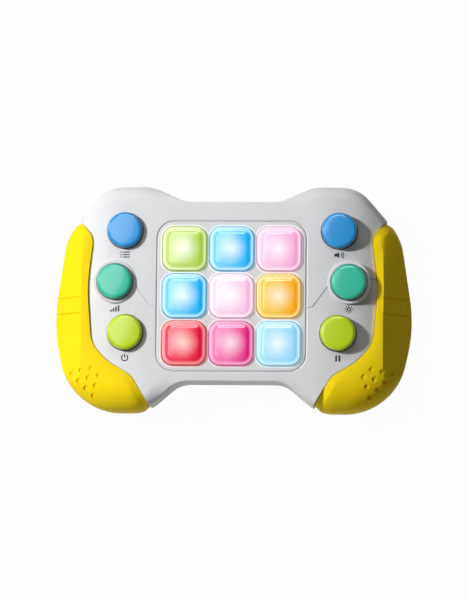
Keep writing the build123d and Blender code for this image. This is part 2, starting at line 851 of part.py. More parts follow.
contact_face = bay_half_length - contact_thickness
lead_height = (bay_top + bay_roof + board_under) / 2
with BuildPart() as battery_leads:
    for side in (-1, 1):
        points = [
            (side * contact_face, lead_height), (side * (contact_face - 2 * lead_pitch), lead_height),
            (side * (contact_face - 2 * lead_pitch), board_under),
        ]
        add(lead_along(bay_y + side * cell_pitch, points, 1.2 * lead_radius))
battery_leads.part.label = "battery_leads"
export_step(battery_leads.part, "parts/battery_leads.step")

# Battery contacts: plates at both ends, with coil springs at the flat ends of the cells
with BuildPart() as contact_plates:
    plate_side = 2 * cell_radius - 2 * contact_thickness
    for side in (-1, 1):
        with BuildSketch(Plane.YZ.offset(side * contact_face)):
            single_y = bay_y + side * cell_pitch
            double_y = bay_y - side * cell_pitch / 2
            with Locations((single_y, cell_height)):
                Rectangle(plate_side, plate_side)
            with Locations((double_y, cell_height)):
                Rectangle(cell_pitch + plate_side, plate_side)
            tab_top = lead_height + lead_radius
            with Locations((single_y, (cell_height + tab_top) / 2)):
                Rectangle(tab_width, tab_top - cell_height)
        extrude(amount=side * (contact_thickness - gap / 2))
contact_plates.part.label = "contact_plates"
export_step(contact_plates.part, "parts/contact_plates.step")

spring_length = 2 * contact_face - cell_length - spring_wire
spring_taper = degrees(atan2(spring_top - spring_foot, spring_length))
for name, row, side in (("upper", 1, -1), ("middle", 0, 1), ("lower", -1, -1)):
    with BuildPart() as contact_spring:
        start = (side * (contact_face - spring_wire / 2), bay_y + row * cell_pitch, cell_height)
        with BuildLine() as coil:
            Helix(
                spring_length / spring_turns, spring_length, spring_foot,
                center=start, direction=(-side, 0, 0), cone_angle=spring_taper,
            )
        with BuildSketch(Plane(origin=coil.line @ 0, z_dir=coil.line % 0)):
            RegularPolygon(spring_wire / 2, lead_sides)
        sweep(is_frenet=True)
    contact_spring.part.label = f"contact_spring_{name}"
    export_step(contact_spring.part, f"parts/contact_spring_{name}.step")

# Cells, laid in alternate directions
for name, row, side in (("upper", 1, 1), ("middle", 0, -1), ("lower", -1, 1)):
    with BuildPart() as battery_cell:
        tip = side * contact_face
        shoulder_x = tip - side * cell_nub
        with BuildSketch(Plane(
            origin=(0, bay_y + row * cell_pitch, cell_height), x_dir=(1, 0, 0), z_dir=(0, -1, 0)
        )):
            with BuildLine():
                Polyline(
                    (tip, 0), (tip, cell_nub_radius), (shoulder_x, cell_nub_radius),
                    (shoulder_x, cell_radius - contact_thickness),
                    (shoulder_x - side * contact_thickness, cell_radius),
                    (tip - side * (cell_length - contact_thickness), cell_radius),
                    (tip - side * cell_length, cell_radius - contact_thickness),
                    (tip - side * cell_length, 0),
                    close=True,
                )
            make_face()
        revolve(axis=Axis((0, bay_y + row * cell_pitch, cell_height), (1, 0, 0)))
    battery_cell.part.label = f"battery_cell_{name}"
    export_step(battery_cell.part, f"parts/battery_cell_{name}.step")

# Battery door with two captive screws
with BuildPart() as battery_door:
    add(rounded_slab(door_length, door_width, door_corner, door_recess, door_top, bay_y))
    chamfer(top_edges(battery_door.part, door_recess), door_recess)
    # Cradle ribs between the cells
    for side in (-1, 1):
        with BuildSketch(Plane.XY.offset(door_top)):
            with Locations((0, bay_y + side * cell_pitch / 2)):
                Rectangle(bay_length / 2, door_rib_width)
        extrude(amount=door_rib_height)
    # Finger grooves
    with BuildSketch(Plane.XY.offset(door_recess)):
        for step in range(door_rib_count):
            with Locations((door_length / 2 - (step + 2) * door_rib_pitch, bay_y)):
                SlotOverall(door_rib_length, door_rib_width, rotation=90)
    extrude(amount=door_recess, mode=Mode.SUBTRACT)
    for side in (-1, 1):
        screw_y = bay_y + side * door_screw_y
        head_side = door_recess + door_screw_head
        add(cylinder_at(0, screw_y, door_screw_radius + gap, door_recess, door_top), mode=Mode.SUBTRACT)
        head_hole = screw_share * door_screw_radius + gap
        add(cylinder_at(0, screw_y, head_hole, door_recess, head_side), mode=Mode.SUBTRACT)
battery_door.part.label = "battery_door"
export_step(battery_door.part, "parts/battery_door.step")

with BuildPart() as door_screws:
    for side in (-1, 1):
        add(screw_at(
            0, bay_y + side * door_screw_y, door_recess, door_recess + door_screw_head,
            door_recess + door_screw_length, door_screw_radius,
        ))
door_screws.part.label = "door_screws"
export_step(door_screws.part, "parts/door_screws.step")
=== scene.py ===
import json
import math

import bmesh
import bpy
from mathutils import Matrix, Vector
from mathutils.bvhtree import BVHTree


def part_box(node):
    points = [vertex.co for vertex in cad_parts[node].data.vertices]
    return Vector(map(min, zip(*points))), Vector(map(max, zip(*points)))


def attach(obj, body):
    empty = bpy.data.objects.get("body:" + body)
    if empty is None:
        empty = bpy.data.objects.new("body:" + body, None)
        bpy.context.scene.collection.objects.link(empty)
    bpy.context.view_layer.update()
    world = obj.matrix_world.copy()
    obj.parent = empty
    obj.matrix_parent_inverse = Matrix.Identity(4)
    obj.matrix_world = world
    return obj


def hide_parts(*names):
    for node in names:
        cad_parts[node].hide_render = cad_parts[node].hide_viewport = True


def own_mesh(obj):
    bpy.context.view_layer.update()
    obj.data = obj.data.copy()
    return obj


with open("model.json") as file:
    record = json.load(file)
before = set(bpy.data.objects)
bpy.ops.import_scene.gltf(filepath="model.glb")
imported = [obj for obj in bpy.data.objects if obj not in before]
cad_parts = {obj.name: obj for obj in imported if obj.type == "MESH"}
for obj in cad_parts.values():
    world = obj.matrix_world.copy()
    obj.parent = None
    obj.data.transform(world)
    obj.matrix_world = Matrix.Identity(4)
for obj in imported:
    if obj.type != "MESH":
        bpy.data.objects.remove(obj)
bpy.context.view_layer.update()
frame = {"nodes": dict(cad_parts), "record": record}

# Handheld electronic game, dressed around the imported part.
# Lengths are in metres. +X runs to the player's right, +Y to the top edge, +Z out of the face.
MM = 0.001
CAD_SIDES = {"left": -1, "right": 1}
ROWS = ("upper", "middle", "lower")
KEYS = (
    "upper_left", "upper_middle", "upper_right",
    "middle_left", "centre", "middle_right",
    "lower_left", "lower_middle", "lower_right",
)

# Colours as shares of linear light
SHELL_GREY = (0.735, 0.735, 0.748)
GRIP_YELLOW = (0.96, 0.702, 0.006)
BUTTON_BLUE = (0.024, 0.315, 0.740)
BUTTON_TEAL = (0.040, 0.540, 0.370)
BUTTON_LIME = (0.530, 0.720, 0.006)
PRINT_NAVY = (0.012, 0.013, 0.045)

# Each key's plastic: over its lamp, its body at the left and at the right, deeper there as painted shade,
# and its rim
KEY_TINTS = {
    "upper_left": ((0.93, 0.99, 0.80), (0.57, 0.74, 0.20), (0.44, 0.66, 0.08), (0.76, 0.90, 0.45)),
    "upper_middle": ((0.84, 0.97, 1.00), (0.20, 0.66, 0.99), (0.00, 0.45, 0.95), (0.56, 0.88, 0.99)),
    "upper_right": ((1.00, 0.93, 0.98), (1.00, 0.60, 0.82), (0.98, 0.42, 0.70), (1.00, 0.80, 0.91)),
    "middle_left": ((0.82, 0.96, 1.00), (0.20, 0.66, 0.99), (0.00, 0.44, 0.94), (0.52, 0.87, 0.99)),
    "centre": ((1.00, 0.99, 1.00), (1.00, 0.72, 0.88), (0.97, 0.58, 0.81), (1.00, 0.86, 0.95)),
    "middle_right": ((1.00, 0.91, 0.66), (0.97, 0.61, 0.10), (1.00, 0.42, 0.00), (1.00, 0.80, 0.34)),
    "lower_left": ((1.00, 0.66, 0.60), (0.88, 0.065, 0.12), (0.80, 0.000, 0.050), (0.95, 0.33, 0.32)),
    "lower_middle": ((1.00, 0.74, 0.86), (0.94, 0.22, 0.48), (0.80, 0.010, 0.22), (0.98, 0.44, 0.66)),
    "lower_right": ((0.94, 1.00, 1.00), (0.42, 0.79, 1.00), (0.32, 0.72, 1.00), (0.64, 0.93, 1.00)),
}

# Smoothed copies: the angle from which an edge stays sharp, and what counts as one point or one plane
CREASE = math.radians(28)
MERGE = 0.002 * MM
FLAT = math.radians(0.5)

# A face whose normal rises at least this much lies level
LEVEL = 0.99


def centre_of(node):
    """The middle of a CAD node's box."""
    low, high = (Vector(corner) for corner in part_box(node))
    return (low + high) / 2


def body_of(node):
    """The moving or fixed body that a node belongs to."""
    for body, nodes in frame["record"]["behaviour"]["bodies"].items():
        if node in nodes:
            return body
    raise ValueError(node)


# The keys' outline
KEY_SIDE, KEY_CORNER = 20.8 * MM, 5.4 * MM


# Mesh helpers
def finished(bm, name, material, crease=CREASE):
    """Turns a bmesh into a piece with smooth faces and sharp creases."""
    for face in bm.faces:
        face.smooth = True
    for edge in bm.edges:
        edge.smooth = not (edge.is_manifold and edge.calc_face_angle(0.0) > crease)
    mesh = bpy.data.meshes.new(name)
    bm.to_mesh(mesh)
    bm.free()
    mesh.materials.append(material)
    piece = bpy.data.objects.new(name, mesh)
    bpy.context.collection.objects.link(piece)
    return piece


def stand_for(piece, node):
    """Puts a piece in place of a CAD node, on its body, and hides the node."""
    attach(piece, body_of(node))
    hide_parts(node)


def smooth_copy(node, name, material):
    """A merged, smoothly shaded copy of a CAD node, which then stands for it."""
    bm = bmesh.new()
    bm.from_mesh(frame["nodes"][node].data)
    bmesh.ops.remove_doubles(bm, verts=bm.verts[:], dist=MERGE)
    bmesh.ops.dissolve_limit(bm, angle_limit=FLAT, verts=bm.verts[:], edges=bm.edges[:])
    piece = finished(bm, name, material)
    stand_for(piece, node)
    return piece


def round_block(bm, centre, sides, corner, low, high, segments=10):
    """A closed block with rounded upright corners. Returns its top face."""
    corners = bmesh.ops.create_cube(bm, size=1.0)["verts"]
    place = Matrix.Translation((centre.x, centre.y, (low + high) / 2))
    size = Matrix.Diagonal((sides[0], sides[1], high - low, 1.0))
    bmesh.ops.transform(bm, matrix=place @ size, verts=corners)
    block = {edge for vert in corners for edge in vert.link_edges}
    upright = [edge for edge in block if abs(edge.verts[0].co.z - edge.verts[1].co.z) > MERGE]
    bmesh.ops.bevel(
        bm, geom=upright, offset=corner, offset_type="OFFSET", segments=segments, profile=0.5,
        affect="EDGES", clamp_overlap=True, material=-1,
    )
    level = [face for face in bm.faces if face.normal.z > LEVEL]
    return max(level, key=lambda face: face.calc_center_median().z)


def stepped(bm, face, depths):
    """Insets a level face again and again, at the given distances from its first outline."""
    reached = 0.0
    for depth in depths:
        bmesh.ops.inset_region(bm, faces=[face], thickness=depth - reached, use_even_offset=True)
        reached = depth


def spun(bm, centre, profile, steps=72):
    """A turned closed form about an upright axis, from radius and height pairs."""
    verts = [bm.verts.new((centre.x + radius, centre.y, height)) for radius, height in profile]
    edges = [bm.edges.new(pair) for pair in zip(verts, verts[1:])]
    bmesh.ops.spin(
        bm, geom=verts + edges, cent=(centre.x, centre.y, 0), axis=(0, 0, 1), angle=math.tau,
        steps=steps, use_merge=True,
    )
    bmesh.ops.remove_doubles(bm, verts=bm.verts[:], dist=MERGE)
    bmesh.ops.recalc_face_normals(bm, faces=bm.faces[:])


def arc_points(centre_radius, centre_height, radius, start, end, count):
    """Points of an arc in a half profile, between two angles in degrees."""
    points = []
    for step in range(count + 1):
        angle = math.radians(start + (end - start) * step / count)
        points.append((centre_radius + radius * math.cos(angle), centre_height + radius * math.sin(angle)))
    return points


# Material helpers. Scales count a pattern's repeats in a metre, stops are places on a colour ramp.
TONE_SCALE, TONE_STOPS = 26.0, (0.35, 0.65)
GLOSS_SCALE, GLOSS_DRIFT = 160.0, (0.9, 1.1)
GRAIN_SCALE, GRAIN_DEPTH, GRAIN_DETAIL = 3800.0, 0.05 * MM, 2.0
COAT_ROUGHNESS = 0.08
DRAWN_SCALE, DRAWN_STOPS = (9000.0, 400.0, 400.0), (0.3, 0.7)
DRAWN_TONES, DRAWN_GLOSS = (0.90, 1.06), (0.8, 1.25)


def blank_material(name):
    """A new node material, its nodes, its links and its shader."""
    material = bpy.data.materials.new(name)
    material.use_nodes = True
    nodes = material.node_tree.nodes
    return material, nodes, material.node_tree.links, nodes["Principled BSDF"]


def object_place(nodes, links, centre=(0, 0, 0)):
    """Object coordinates moved so that a point of the part is their zero."""
    coordinates = nodes.new("ShaderNodeTexCoord")
    mapping = nodes.new("ShaderNodeMapping")
    mapping.inputs["Location"].default_value = (-centre[0], -centre[1], -centre[2])
    links.new(coordinates.outputs["Object"], mapping.inputs["Vector"])
    return mapping.outputs["Vector"]


def noise(nodes, links, vector, scale, detail=3.0):
    """A noise pattern as a socket."""
    texture = nodes.new("ShaderNodeTexNoise")
    texture.inputs["Scale"].default_value = scale
    texture.inputs["Detail"].default_value = detail
    links.new(vector, texture.inputs["Vector"])
    return texture.outputs["Fac"]


def ranged(nodes, links, value, low, high, start=0.0, end=1.0):
    """A value carried from the range start to end over to the range low to high."""
    change = nodes.new("ShaderNodeMapRange")
    change.inputs["From Min"].default_value = start
    change.inputs["From Max"].default_value = end
    change.inputs["To Min"].default_value = low
    change.inputs["To Max"].default_value = high
    links.new(value, change.inputs["Value"])
    return change.outputs["Result"]


def ramp(nodes, links, value, stops):
    """A colour ramp from (place, colour) stops."""
    colours = nodes.new("ShaderNodeValToRGB")
    elements = colours.color_ramp.elements
    while len(elements) > 1:
        elements.remove(elements[-1])
    elements[0].position = stops[0][0]
    elements[0].color = (*stops[0][1], 1)
    for place, colour in stops[1:]:
        elements.new(place).color = (*colour, 1)
    links.new(value, colours.inputs["Fac"])
    return colours.outputs["Color"]


def grained(nodes, links, shader, vector, scale, strength):
    """Fine moulded grain as a bump."""
    bump = nodes.new("ShaderNodeBump")
    bump.inputs["Strength"].default_value = strength
    bump.inputs["Distance"].default_value = GRAIN_DEPTH
    links.new(noise(nodes, links, vector, scale, GRAIN_DETAIL), bump.inputs["Height"])
    links.new(bump.outputs["Normal"], shader.inputs["Normal"])


def scaled(colour, share):
    """A colour made paler or deeper by a share."""
    return tuple(min(1.0, part * share) for part in colour)


def uneven(nodes, links, value, stops, deep, pale):
    """Two close tones of a colour, mixed by a pattern."""
    return ramp(nodes, links, value, ((stops[0], deep), (stops[1], pale)))


def round_reach(nodes, links, vector):
    """Distance from the upright axis through the zero of a vector, as a socket."""
    flat = nodes.new("ShaderNodeVectorMath")
    flat.operation = "MULTIPLY"
    flat.inputs[1].default_value = (1, 1, 0)
    links.new(vector, flat.inputs[0])
    span = nodes.new("ShaderNodeVectorMath")
    span.operation = "LENGTH"
    links.new(flat.outputs["Vector"], span.inputs[0])
    return span.outputs["Value"]


def moulded(name, colour, roughness, coat=0.0, grain=0.10, drift=0.02, sheen=0.5):
    """Moulded plastic: slightly uneven colour and gloss, with a fine grain."""
    material, nodes, links, shader = blank_material(name)
    vector = object_place(nodes, links)
    pattern = noise(nodes, links, vector, TONE_SCALE)
    tone = uneven(nodes, links, pattern, TONE_STOPS, scaled(colour, 1 - drift), scaled(colour, 1 + drift))
    links.new(tone, shader.inputs["Base Color"])
    smooth, rough = (roughness * share for share in GLOSS_DRIFT)
    gloss = ranged(nodes, links, noise(nodes, links, vector, GLOSS_SCALE), smooth, rough)
    links.new(gloss, shader.inputs["Roughness"])
    shader.inputs["Specular IOR Level"].default_value = sheen
    shader.inputs["Coat Weight"].default_value = coat
    shader.inputs["Coat Roughness"].default_value = COAT_ROUGHNESS
    if grain:
        grained(nodes, links, shader, vector, GRAIN_SCALE, grain)
    return material


def metal(name, colour, roughness):
    """Plated metal with fine drawn lines."""
    material, nodes, links, shader = blank_material(name)
    vector = object_place(nodes, links)
    stretched = nodes.new("ShaderNodeMapping")
    stretched.inputs["Scale"].default_value = DRAWN_SCALE
    links.new(vector, stretched.inputs["Vector"])
    lines = noise(nodes, links, stretched.outputs["Vector"], 1.0)
    deep, pale = (scaled(colour, share) for share in DRAWN_TONES)
    links.new(uneven(nodes, links, lines, DRAWN_STOPS, deep, pale), shader.inputs["Base Color"])
    smooth, rough = (roughness * share for share in DRAWN_GLOSS)
    links.new(ranged(nodes, links, lines, smooth, rough), shader.inputs["Roughness"])
    shader.inputs["Metallic"].default_value = 1.0
    return material


def math_node(nodes, links, operation, *values):
    """One sum, from sockets and plain numbers."""
    made = nodes.new("ShaderNodeMath")
    made.operation = operation
    for socket, value in zip(made.inputs, values):
        if isinstance(value, float):
            socket.default_value = value
        else:
            links.new(value, socket)
    return made.outputs[0]


def key_depth(nodes, links, vector):
    """Distance inside a key's outline as a socket, and the node that parts the coordinates."""
    split = nodes.new("ShaderNodeSeparateXYZ")
    links.new(vector, split.inputs["Vector"])
    over = []
    for axis in ("X", "Y"):
        size = math_node(nodes, links, "ABSOLUTE", split.outputs[axis])
        past = math_node(nodes, links, "SUBTRACT", size, KEY_SIDE / 2 - KEY_CORNER)
        over.append(math_node(nodes, links, "MAXIMUM", past, 0.0))
    squares = [math_node(nodes, links, "MULTIPLY", part, part) for part in over]
    beyond = math_node(nodes, links, "SQRT", math_node(nodes, links, "ADD", *squares))
    return math_node(nodes, links, "SUBTRACT", KEY_CORNER, beyond), split


def blended(nodes, links, share, first, second):
    """Two colours or colour sockets mixed by a share."""
    mix = nodes.new("ShaderNodeMix")
    mix.data_type = "RGBA"
    links.new(share, mix.inputs["Factor"])
    for socket, colour in (("A", first), ("B", second)):
        target = next(entry for entry in mix.inputs if entry.name == socket and entry.type == "RGBA")
        if isinstance(colour, tuple):
            target.default_value = (*colour, 1)
        else:
            links.new(colour, target)
    return next(entry for entry in mix.outputs if entry.type == "RGBA")


# A key's light, painted as emission: a glow round its middle, a tint that deepens from left to right of its
# middle as painted shade, a pale rim, and a dark outline of painted shade, placed inward from its edge
KEY_LIGHT_SHARE = 0.62
KEY_BODY_SHARE = 0.46
GLOW_REACH, GLOW_POWER = 7.6 * MM, 1.25
SHADE_ACROSS_FROM, SHADE_ACROSS_TO = -2.0 * MM, 8.0 * MM
RIM_SHARE, RIM_FROM, RIM_TO = 0.85, 0.9 * MM, 2.1 * MM
GAP_SHADE_SHARE, GAP_SHADE_FROM, GAP_SHADE_TO = 0.85, 0.25 * MM, 0.50 * MM
GAP_SHADE_TONE = 0.42
KEY_ROUGHNESS, KEY_COAT, KEY_COAT_ROUGHNESS = 0.16, 0.5, 0.06
KEY_GRAIN_SCALE, KEY_GRAIN = 900.0, 0.04


def lit_key(name, node, tints):
    """Translucent key plastic over a lamp, its glow painted in as emission: pale in the middle and along the
    rim.
    """
    material, nodes, links, shader = blank_material(name)
    vector = object_place(nodes, links, centre_of(node))
    depth, split = key_depth(nodes, links, vector)
    glow, left, right, rim = tints
    # painted shade: the tint deepens towards the key's right side, away from the light
    painted_shade_across = ranged(nodes, links, split.outputs["X"], 0.0, 1.0, SHADE_ACROSS_FROM, SHADE_ACROSS_TO)
    body = blended(nodes, links, painted_shade_across, left, right)
    glow_share = ranged(nodes, links, round_reach(nodes, links, vector), 1.0, 0.0, 0.0, GLOW_REACH)
    glow_share = math_node(nodes, links, "POWER", glow_share, GLOW_POWER)
    body = blended(nodes, links, glow_share, body, glow)
    edge = ranged(nodes, links, depth, RIM_SHARE, 0.0, RIM_FROM, RIM_TO)
    tone = blended(nodes, links, edge, body, rim)
    # painted shade: a dark outline just inside the key's edge, for the shade in the gap round the key
    outline = ranged(nodes, links, depth, GAP_SHADE_SHARE, 0.0, GAP_SHADE_FROM, GAP_SHADE_TO)
    tone = blended(nodes, links, outline, tone, scaled(right, GAP_SHADE_TONE))
    shade = nodes.new("ShaderNodeVectorMath")
    shade.operation = "SCALE"
    shade.inputs["Scale"].default_value = KEY_BODY_SHARE
    links.new(tone, shade.inputs[0])
    links.new(shade.outputs["Vector"], shader.inputs["Base Color"])
    # painted glow: the key's whole tone, rim included, is emitted as light
    links.new(tone, shader.inputs["Emission Color"])
    shader.inputs["Emission Strength"].default_value = KEY_LIGHT_SHARE
    shader.inputs["Roughness"].default_value = KEY_ROUGHNESS
    shader.inputs["Coat Weight"].default_value = KEY_COAT
    shader.inputs["Coat Roughness"].default_value = KEY_COAT_ROUGHNESS
    grained(nodes, links, shader, vector, KEY_GRAIN_SCALE, KEY_GRAIN)
    return material


# A round button's plastic, and the dark line of painted shade down its side
BUTTON_RADIUS = 8.4 * MM
BUTTON_SHADE_BAND, BUTTON_SHADE_SHARE, BUTTON_SHADE_TONE = 0.45 * MM, 0.85, 0.16
BUTTON_DRIFT = 0.02
BUTTON_ROUGHNESS, BUTTON_COAT, BUTTON_COAT_ROUGHNESS = 0.24, 0.5, 0.10
BUTTON_GRAIN = 0.03


def turned_plastic(name, node, colour):
    """A round button's glossy plastic, with painted shade that deepens its tone down its side."""
    material, nodes, links, shader = blank_material(name)
    vector = object_place(nodes, links, centre_of(node))
    reach = round_reach(nodes, links, vector)
    low, high = BUTTON_RADIUS - BUTTON_SHADE_BAND, BUTTON_RADIUS - BUTTON_SHADE_BAND / 3
    side = ranged(nodes, links, reach, 0.0, BUTTON_SHADE_SHARE, low, high)
    pattern = noise(nodes, links, vector, TONE_SCALE)
    deep, pale = scaled(colour, 1 - BUTTON_DRIFT), scaled(colour, 1 + BUTTON_DRIFT)
    tone = uneven(nodes, links, pattern, TONE_STOPS, deep, pale)
    # painted shade: the button's outer edge darkens, for the shade in the gap round it
    side_shade_colour = scaled(colour, BUTTON_SHADE_TONE)
    links.new(blended(nodes, links, side, tone, side_shade_colour), shader.inputs["Base Color"])
    shader.inputs["Roughness"].default_value = BUTTON_ROUGHNESS
    shader.inputs["Coat Weight"].default_value = BUTTON_COAT
    shader.inputs["Coat Roughness"].default_value = BUTTON_COAT_ROUGHNESS
    grained(nodes, links, shader, vector, GRAIN_SCALE, BUTTON_GRAIN)
    return material


# The keys' light on the panel round them, painted as a glow
HALO_REACH = 1.3 * MM
HALO_SHARE = 0.55


def lit_panel(name):
    """Panel plastic with the keys' light painted round each of them as a glow."""
    material = moulded(name, SHELL_GREY, 0.50, sheen=0.3)
    nodes, links = material.node_tree.nodes, material.node_tree.links
    glow = (0.0, 0.0, 0.0)
    for key, tints in KEY_TINTS.items():
        vector = object_place(nodes, links, centre_of(f"key_{key}"))
        near = ranged(nodes, links, key_depth(nodes, links, vector)[0], 0.0, 1.0, -HALO_REACH, 0.0)
        # painted light: a glow in each key's rim tint on the panel just round the key
        glow = blended(nodes, links, near, glow, tints[3])
    shader = nodes["Principled BSDF"]
    links.new(glow, shader.inputs["Emission Color"])
    shader.inputs["Emission Strength"].default_value = HALO_SHARE
    return material


SHELL = moulded("shell_grey", SHELL_GREY, 0.50, sheen=0.25)
PANEL = lit_panel("panel_grey")
GRIP = moulded("grip_yellow", GRIP_YELLOW, 0.55, sheen=0.08)
BUTTON_COLOURS = {"upper": BUTTON_BLUE, "middle": BUTTON_TEAL, "lower": BUTTON_LIME}
PRINT = moulded("print_navy", PRINT_NAVY, 0.45, grain=0.0, drift=0.10)
DOME_RUBBER = moulded("dome_rubber", (0.62, 0.62, 0.60), 0.75)

# Finishes of the slots whose nodes keep their CAD mesh
INNER_FINISH = {
    "board_green": moulded("board_green", (0.010, 0.110, 0.035), 0.30, coat=0.6, grain=0.04, drift=0.2),
    "led_white": moulded("lamp_resin", (0.86, 0.83, 0.66), 0.15, coat=0.5, grain=0.0),
    "chip_black": moulded("chip_black", (0.012, 0.012, 0.014), 0.55, drift=0.2),
    "capacitor_sleeve": moulded("capacitor_sleeve", (0.010, 0.014, 0.050), 0.25, coat=0.4, drift=0.1),
    "screw_steel": metal("zinc_steel", (0.60, 0.60, 0.62), 0.32),
    "contact_steel": metal("nickel_plate", (0.72, 0.70, 0.66), 0.22),
    "basket_black": moulded("basket_black", (0.014, 0.014, 0.016), 0.5, drift=0.1),
    "cone_paper": moulded("cone_paper", (0.045, 0.042, 0.038), 0.85, grain=0.4, drift=0.15),
    "lead_red": moulded("lead_red", (0.55, 0.010, 0.008), 0.35, drift=0.06),
    "lead_black": moulded("lead_black", (0.012, 0.012, 0.014), 0.35, drift=0.1),
    "cell_wrap": moulded("cell_wrap", (0.030, 0.034, 0.042), 0.25, coat=0.6, grain=0.0, drift=0.1),
}


# Housing, grips and panel
front = smooth_copy("front_shell", "front_shell_skin", SHELL)
smooth_copy("rear_shell", "rear_shell_skin", SHELL)
smooth_copy("battery_door", "battery_door_skin", SHELL)
smooth_copy("key_panel", "key_panel_skin", PANEL)
for side in CAD_SIDES:
    smooth_copy(f"{side}_grip", f"{side}_grip_skin", GRIP)
front_tree = BVHTree.FromObject(front, bpy.context.evaluated_depsgraph_get())


# Corners of the waist: the face's crisp edge eases into the round edge of the lobes.
# The face is level as far as CROWN_FLAT from the middle, and then falls on a circle.
FACE_HEIGHT, EDGE_RADIUS = 27.0 * MM, 6.0 * MM
CROWN_FLAT, CROWN_RADIUS = 36.0 * MM, 112.0 * MM
# The edge is crisp as far as CRISP_HALF, and the crisp stretch then sinks on a circle of CRISP_RADIUS
CRISP_HALF, CRISP_RADIUS, CRISP_EDGE = 20.0 * MM, 27.1 * MM, 1.0 * MM
EASE = 0.3
# Each skin runs out from CORNER_START to its end, which differs at the upper and the lower edge, and stops
# PANEL_MARGIN short of the panel. It lies HIDDEN under the face, so it shows only where it bridges the
# valley, and a skirt hangs from its outer edge.
CORNER_START = 20.2 * MM
CORNER_ENDS = {1: 39.4 * MM, -1: 37.95 * MM}
PANEL_MARGIN = 0.75 * MM
HIDDEN = 0.015 * MM
SKIRT = 1.5 * MM
CORNER_COLUMNS, CORNER_ROWS = 56, 22
CORNER_CREASE = math.radians(60)
# The outline is felt for by level rays from outside, a little to both sides for its direction
OUTLINE_LEVEL, OUTLINE_FAR, OUTLINE_STEP = 19 * MM, 80 * MM, 0.04 * MM


def outline_at(x, end):
    """The point of the housing's outline above or below the middle, at a given x."""
    hit = front_tree.ray_cast(Vector((x, end * OUTLINE_FAR, OUTLINE_LEVEL)), Vector((0, -end, 0)))[0]
    return Vector((hit.x, hit.y))


def circle_drop(radius, reach):
    """How far a circle falls away from its top, at a distance from its top."""
    return radius - math.sqrt(max(radius**2 - min(max(reach, 0.0), radius) ** 2, 0.0))


def corner_height(x, depth):
    """Height of the eased corner at a distance inside the outline."""
    roll = circle_drop(EDGE_RADIUS, EDGE_RADIUS - depth)
    crisp = circle_drop(CRISP_EDGE, CRISP_EDGE - depth)
    fall = circle_drop(CRISP_RADIUS, x - CRISP_HALF)
    share = fall / EDGE_RADIUS
    share = min(share, 1.0) - max(EASE - abs(share - 1.0), 0.0) ** 2 / (4 * EASE)
    drop = crisp * (1 - share) + roll * share
    return FACE_HEIGHT - drop - circle_drop(CROWN_RADIUS, x - CROWN_FLAT) - HIDDEN


def waist_corner(side, end):
    """A skin over the valley between the waist and a lobe."""
    bm = bmesh.new()
    bmesh.ops.create_grid(bm, x_segments=CORNER_COLUMNS, y_segments=CORNER_ROWS, size=0.5)
    foremost = min(vert.co.y for vert in bm.verts) + MERGE
    rim = [edge for edge in bm.edges if all(vert.co.y < foremost for vert in edge.verts)]
    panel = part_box("key_panel")
    stop = panel[1][1] + PANEL_MARGIN if end > 0 else panel[0][1] - PANEL_MARGIN
    for vert in bm.verts:
        reach = CORNER_START + (CORNER_ENDS[end] - CORNER_START) * (vert.co.x + 0.5)
        foot = outline_at(side * reach, end)
        before, after = (outline_at(side * (reach + step), end) for step in (-OUTLINE_STEP, OUTLINE_STEP))
        along = after - before
        inward = Vector((along.y, -along.x)).normalized()
        if inward.y * end > 0:
            inward.negate()
        deepest = min((stop - foot.y) / inward.y, EDGE_RADIUS)
        turn = (vert.co.y + 0.5) * math.acos(1 - deepest / EDGE_RADIUS)
        depth = EDGE_RADIUS * (1 - math.cos(turn))
        place = foot + inward * (depth + HIDDEN)
        vert.co = Vector((place.x, place.y, corner_height(abs(place.x), depth)))
    made = bmesh.ops.extrude_edge_only(bm, edges=rim)
    for vert in (entry for entry in made["geom"] if isinstance(entry, bmesh.types.BMVert)):
        vert.co.z -= SKIRT
    bmesh.ops.recalc_face_normals(bm, faces=bm.faces[:])
    level = max(bm.faces, key=lambda face: abs(face.normal.z))
    if level.normal.z < 0:
        bmesh.ops.reverse_faces(bm, faces=bm.faces[:])
    row = "upper" if end > 0 else "lower"
    hand = "right" if side > 0 else "left"
    piece = finished(bm, f"waist_corner_{row}_{hand}", SHELL, CORNER_CREASE)
    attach(piece, body_of("front_shell"))


for side in CAD_SIDES.values():
    for end in (1, -1):
        waist_corner(side, end)


# Keys: a rounded edge, a level rim, and the pillow's slope and crown. KEY_RINGS are the rings of points of a
# key's top, inward from its outline, round a patch of square cells in its middle.
KEY_EDGE = 0.6 * MM
KEY_RIM = 1.5 * MM
PILLOW_SLOPE = 2.1 * MM
PILLOW_STEP, PILLOW_CROWN = 0.53 * MM, 0.22 * MM
KEY_RINGS = [depth * MM for depth in (
    0.04, 0.12, 0.25, 0.42, 0.60, 1.20, 1.50, 1.70, 1.90, 2.15,
    2.40, 2.65, 2.90, 3.15, 3.40, 3.60, 4.0, 4.6, 5.39,
)]
PATCH_CELLS = 8
PATCH_MERGE = 0.03 * MM
KEY_CREASE = math.radians(40)
PLUNGER_DROP = 2.0 * MM
FLANGE_SIDE, FLANGE_CORNER, FLANGE_HEIGHT, FLANGE_SEGMENTS = 21.6 * MM, 2.5 * MM, 1.0 * MM, 5
RING_BORE, RING_RADIUS, RING_STEPS = 4.4 * MM, 5.5 * MM, 40


